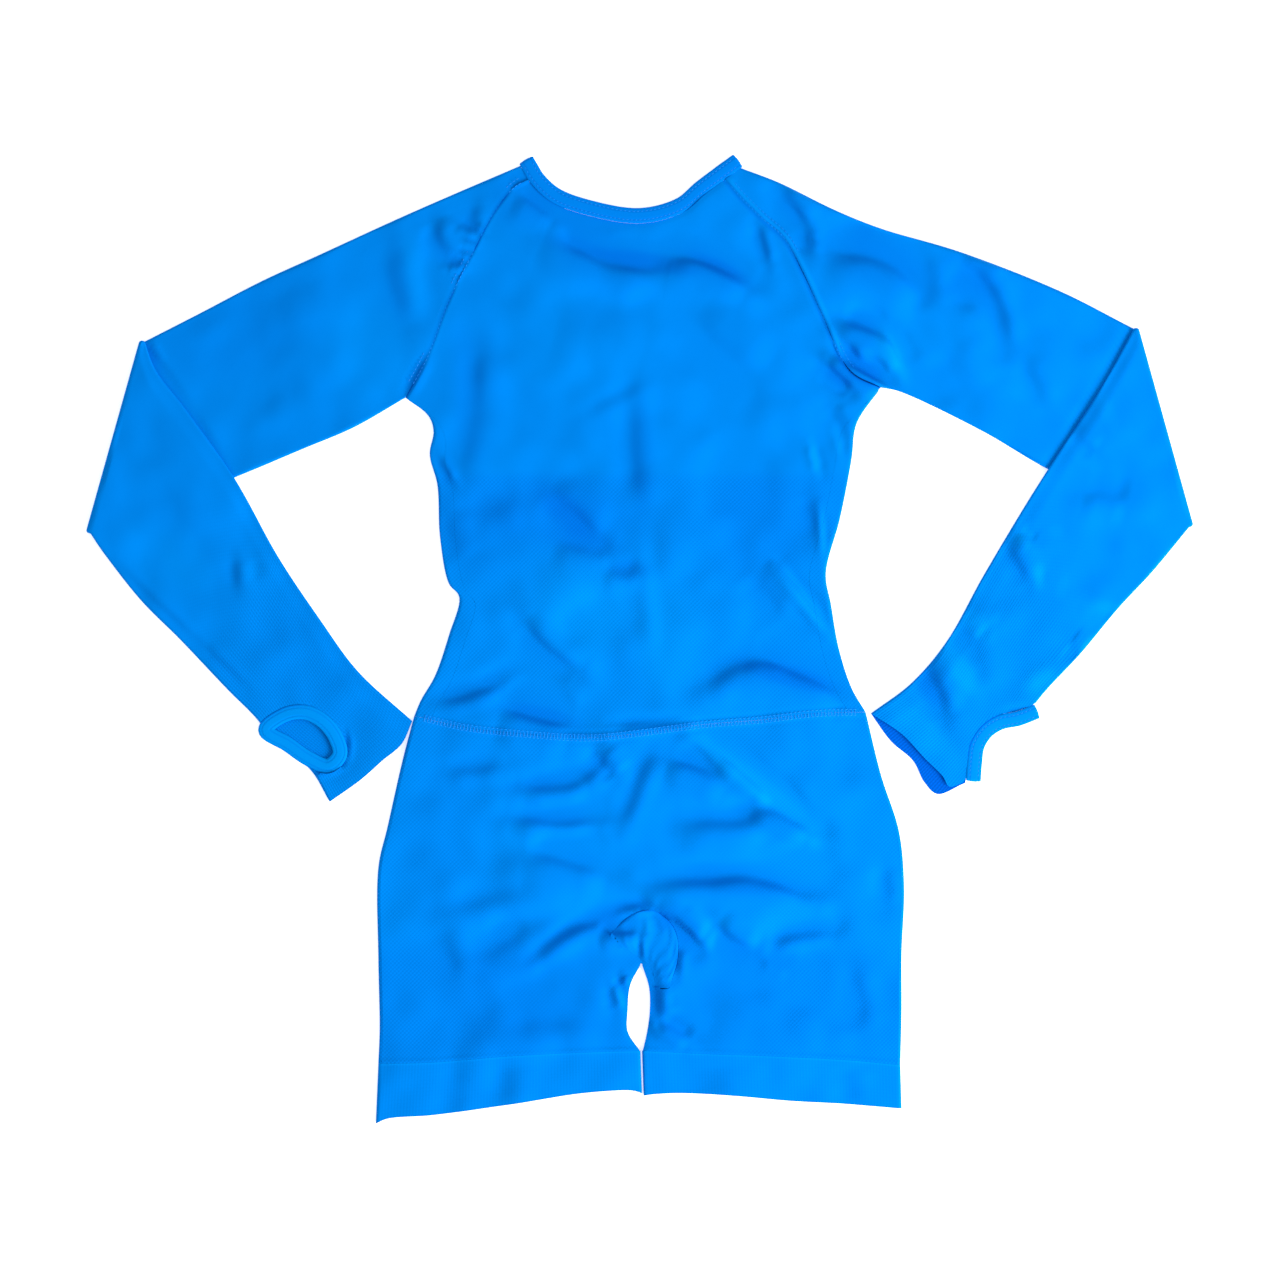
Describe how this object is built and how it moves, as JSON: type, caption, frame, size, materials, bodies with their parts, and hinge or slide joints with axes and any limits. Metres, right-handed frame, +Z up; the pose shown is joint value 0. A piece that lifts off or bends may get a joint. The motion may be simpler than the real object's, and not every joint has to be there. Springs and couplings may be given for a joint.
{
  "type": "yoga jumpsuit",
  "caption": "Knitted yoga jumpsuit with long raglan sleeves, thumb holes and short legs, laid flat with its back up and its sleeves folded at the elbows.",
  "frame": {"origin": "on the surface the garment lies on, under the middle of its outline", "axes": "+Z up from the surface, +Y towards the neck, +X towards the wearer's right sleeve, with the back of the garment up"},
  "size_m": [0.8626, 0.7556, 0.0088],
  "materials": {
    "knit": "matt stretch knit, fine diagonal mesh on the body and shorts, ribs on the cuffs",
    "welt": "matt smooth double knit",
    "binding": "smooth jersey binding with twin stitching"
  },
  "bodies": {
    "root": {"back_bodice": "knit", "front_bodice": "knit", "left_sleeve": "knit", "right_sleeve": "knit", "shorts_back": "knit", "shorts_front": "knit", "gusset": "knit", "left_hem": "welt", "right_hem": "welt", "neckband": "binding", "left_thumb_binding": "binding", "right_thumb_binding": "binding"}
  },
  "joints": []
}
